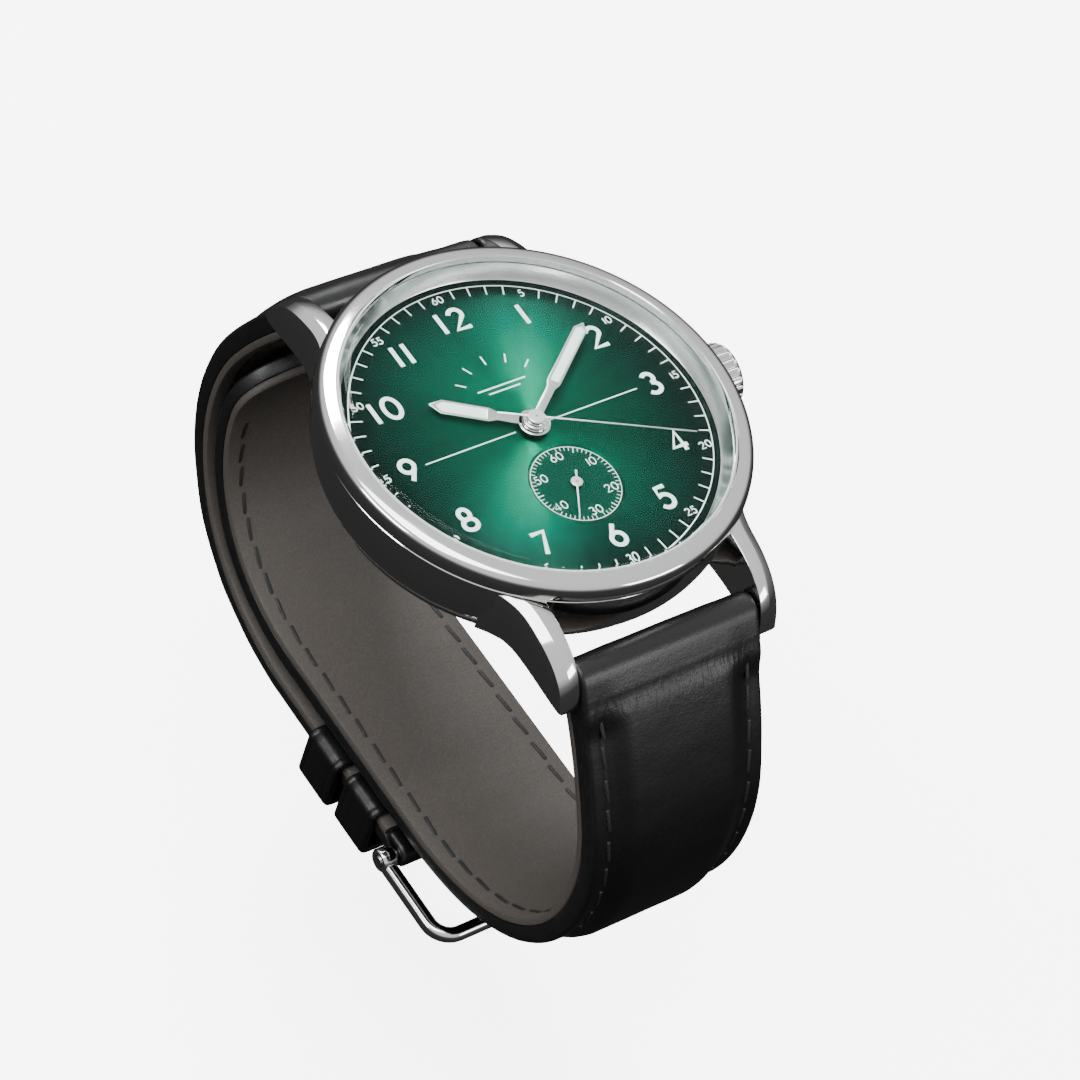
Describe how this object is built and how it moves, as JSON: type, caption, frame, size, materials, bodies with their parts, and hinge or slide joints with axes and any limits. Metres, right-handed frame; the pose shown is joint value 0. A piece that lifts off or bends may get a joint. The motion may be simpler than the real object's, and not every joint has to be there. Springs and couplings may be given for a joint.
{
  "type": "wristwatch",
  "caption": "Round steel wristwatch with a green dial, hand-wound movement, small seconds and a black leather strap with a pin buckle.",
  "frame": {"origin": "centre of the case back's outer face", "axes": "+Z out of the dial, +Y towards 12, +X towards 3 and the crown"},
  "size_m": [0.0432, 0.0683, 0.0558],
  "materials": {
    "polished_steel": "mirror polish",
    "brushed_steel": "satin",
    "crystal": "polished sapphire glass",
    "clear_gasket": "translucent",
    "black_rubber": "matt",
    "green_dial": "sunburst lacquer, darker at the edge",
    "lume": "luminous paint",
    "pale_hand": "satin lacquer",
    "nickel_plate": "striped nickel plate",
    "ruby": "polished ruby",
    "blued_steel": "heat blued",
    "gilt_brass": "gilt, circular grain",
    "black_leather": "smooth calf, semi-gloss",
    "lining_leather": "matt lining"
  },
  "bodies": {
    "case": {"mid_case": "polished_steel", "bezel": "polished_steel", "crystal": "crystal", "crystal_gasket": "clear_gasket", "case_back": "brushed_steel", "case_back_gasket": "black_rubber", "crown_tube": "brushed_steel", "movement_ring": "brushed_steel", "inner_flange": "polished_steel", "dial": "green_dial", "spring_bar_12": "polished_steel", "spring_bar_6": "polished_steel", "main_plate": "nickel_plate", "train_bridge": "nickel_plate", "barrel_bridge": "nickel_plate", "balance_cock": "nickel_plate", "pallet_cock": "nickel_plate", "jewels": "ruby", "bridge_screws": "blued_steel", "crown_wheel_seat": "nickel_plate"},
    "minute_hand": {"minute_hand": "polished_steel", "minute_hand_lume": "lume", "cannon_pinion": "brushed_steel"},
    "hour_hand": {"hour_hand": "polished_steel", "hour_hand_lume": "lume", "hour_wheel": "gilt_brass"},
    "minute_wheel": {"minute_wheel": "gilt_brass"},
    "centre_seconds": {"centre_seconds_hand": "pale_hand", "centre_seconds_pinion": "gilt_brass"},
    "fourth_wheel": {"fourth_wheel": "gilt_brass", "small_seconds_hand": "pale_hand"},
    "third_wheel": {"third_wheel": "gilt_brass", "sweep_wheel": "gilt_brass"},
    "centre_wheel": {"centre_wheel": "gilt_brass"},
    "barrel": {"barrel": "gilt_brass", "mainspring": "blued_steel"},
    "barrel_arbor": {"barrel_arbor": "brushed_steel", "ratchet_wheel": "brushed_steel"},
    "crown_wheel": {"crown_wheel": "brushed_steel"},
    "click": {"click": "brushed_steel"},
    "escape_wheel": {"escape_wheel": "gilt_brass"},
    "pallet_fork": {"pallet_fork": "brushed_steel"},
    "balance": {"balance_wheel": "gilt_brass", "hairspring": "blued_steel"},
    "winding_pinion": {"winding_pinion": "brushed_steel"},
    "crown": {"crown": "polished_steel", "crown_gasket": "black_rubber", "winding_stem": "brushed_steel"},
    "sliding_pinion": {"sliding_pinion": "brushed_steel"},
    "setting_lever": {"setting_lever": "brushed_steel"},
    "yoke": {"yoke": "brushed_steel"},
    "strap_12": {"strap_12_leather": "black_leather", "strap_12_lining": "lining_leather", "buckle_bar": "polished_steel", "fixed_keeper": "black_leather"},
    "strap_6": {"strap_6_leather": "black_leather", "strap_6_lining": "lining_leather"},
    "buckle": {"buckle_frame": "polished_steel"},
    "tongue": {"buckle_tongue": "polished_steel"},
    "free_keeper": {"free_keeper": "black_leather"}
  },
  "joints": [
    {"name": "minute_turn", "type": "hinge", "parent": "case", "child": "minute_hand", "pos_m": [0, 0, 0.008], "axis": [0, 0, -1], "continuous": true},
    {"name": "hour_turn", "type": "hinge", "parent": "case", "child": "hour_hand", "pos_m": [0, 0, 0.0076], "axis": [0, 0, -1], "continuous": true},
    {"name": "minute_wheel_turn", "type": "hinge", "parent": "case", "child": "minute_wheel", "pos_m": [0.0029, -0.00078, 0.0064], "axis": [0, 0, -1], "continuous": true},
    {"name": "fourth_turn", "type": "hinge", "parent": "case", "child": "fourth_wheel", "pos_m": [0, -0.007, 0.0035], "axis": [0, 0, -1], "continuous": true},
    {"name": "centre_seconds_turn", "type": "hinge", "parent": "case", "child": "centre_seconds", "pos_m": [0, 0, 0.0085], "axis": [0, 0, -1], "continuous": true},
    {"name": "third_turn", "type": "hinge", "parent": "case", "child": "third_wheel", "pos_m": [0.00419, -0.00409, 0.0031], "axis": [0, 0, -1], "continuous": true},
    {"name": "centre_wheel_turn", "type": "hinge", "parent": "case", "child": "centre_wheel", "pos_m": [0, 0, 0.0028], "axis": [0, 0, -1], "continuous": true},
    {"name": "barrel_turn", "type": "hinge", "parent": "case", "child": "barrel", "pos_m": [0.00399, 0.0057, 0.004], "axis": [0, 0, -1], "continuous": true},
    {"name": "escape_turn", "type": "hinge", "parent": "case", "child": "escape_wheel", "pos_m": [-0.0046, -0.0085, 0.0041], "axis": [0, 0, -1], "continuous": true},
    {"name": "pallet_rock", "type": "hinge", "parent": "case", "child": "pallet_fork", "pos_m": [-0.00647, -0.00539, 0.0041], "axis": [0, 0, -1], "range_deg": [-5, 5]},
    {"name": "balance_swing", "type": "hinge", "parent": "case", "child": "balance", "pos_m": [-0.00916, -0.00099, 0.0035], "axis": [0, 0, -1], "range_deg": [-135, 135], "stiffness_Nm_per_rad": 0.000001},
    {"name": "crown_turn", "type": "hinge", "parent": "case", "child": "winding_pinion", "pos_m": [0.011, 0, 0.0044], "axis": [1, 0, 0], "continuous": true},
    {"name": "crown_pull", "type": "slide", "parent": "winding_pinion", "child": "crown", "axis": [1, 0, 0], "range_m": [0, 0.001]},
    {"name": "sliding_pinion_slide", "type": "slide", "parent": "winding_pinion", "child": "sliding_pinion", "axis": [1, 0, 0], "range_m": [-0.0005, 0]},
    {"name": "setting_lever_turn", "type": "hinge", "parent": "case", "child": "setting_lever", "pos_m": [0.01332, 0.0031, 0.0064], "axis": [0, 0, 1], "range_deg": [0, 18.6]},
    {"name": "yoke_turn", "type": "hinge", "parent": "case", "child": "yoke", "pos_m": [0.01001, -0.0042, 0.0064], "axis": [0, 0, 1], "range_deg": [0, 7]},
    {"name": "crown_wheel_turn", "type": "hinge", "parent": "case", "child": "crown_wheel", "pos_m": [0.00886, 0, 0.0017], "axis": [0, 0, -1], "continuous": true},
    {"name": "ratchet_turn", "type": "hinge", "parent": "case", "child": "barrel_arbor", "pos_m": [0.00399, 0.0057, 0.0017], "axis": [0, 0, -1], "continuous": true},
    {"name": "click_lift", "type": "hinge", "parent": "case", "child": "click", "pos_m": [-0.00125, 0.00937, 0.0016], "axis": [0, 0, 1], "range_deg": [0, 8]},
    {"name": "strap_12_open", "type": "hinge", "parent": "case", "child": "strap_12", "pos_m": [0, 0.0224, 0.0026], "axis": [1, 0, 0], "range_deg": [0, 80]},
    {"name": "strap_6_open", "type": "hinge", "parent": "case", "child": "strap_6", "pos_m": [0, -0.0224, 0.0026], "axis": [-1, 0, 0], "range_deg": [0, 32]},
    {"name": "buckle_swing", "type": "hinge", "parent": "strap_12", "child": "buckle", "pos_m": [0, -0.01033, -0.04069], "axis": [1, 0, 0], "range_deg": [0, 45]},
    {"name": "tongue_swing", "type": "hinge", "parent": "buckle", "child": "tongue", "pos_m": [0, -0.01033, -0.04069], "axis": [1, 0, 0], "range_deg": [0, 50]},
    {"name": "free_keeper_slide", "type": "slide", "parent": "strap_12", "child": "free_keeper", "axis": [0, 1, 0], "range_m": [0, 0.005]}
  ],
  "couplings": [
    {"joint": "hour_turn", "follows": "minute_turn", "ratio": 0.083333},
    {"joint": "minute_wheel_turn", "follows": "minute_turn", "ratio": -0.33333},
    {"joint": "centre_seconds_turn", "follows": "fourth_turn", "ratio": 1},
    {"joint": "third_turn", "follows": "fourth_turn", "ratio": -0.13333},
    {"joint": "centre_wheel_turn", "follows": "fourth_turn", "ratio": 0.016667},
    {"joint": "barrel_turn", "follows": "fourth_turn", "ratio": -0.002381},
    {"joint": "escape_turn", "follows": "fourth_turn", "ratio": -10},
    {"joint": "crown_wheel_turn", "follows": "crown_turn", "ratio": -0.46667},
    {"joint": "ratchet_turn", "follows": "crown_turn", "ratio": 0.31111},
    {"joint": "sliding_pinion_slide", "follows": "crown_pull", "ratio": -0.5},
    {"joint": "setting_lever_turn", "follows": "crown_pull", "rad_per_m": 322.58},
    {"joint": "yoke_turn", "follows": "crown_pull", "rad_per_m": 119.05},
    {"joint": "strap_6_open", "follows": "strap_12_open", "ratio": 0.4}
  ]
}
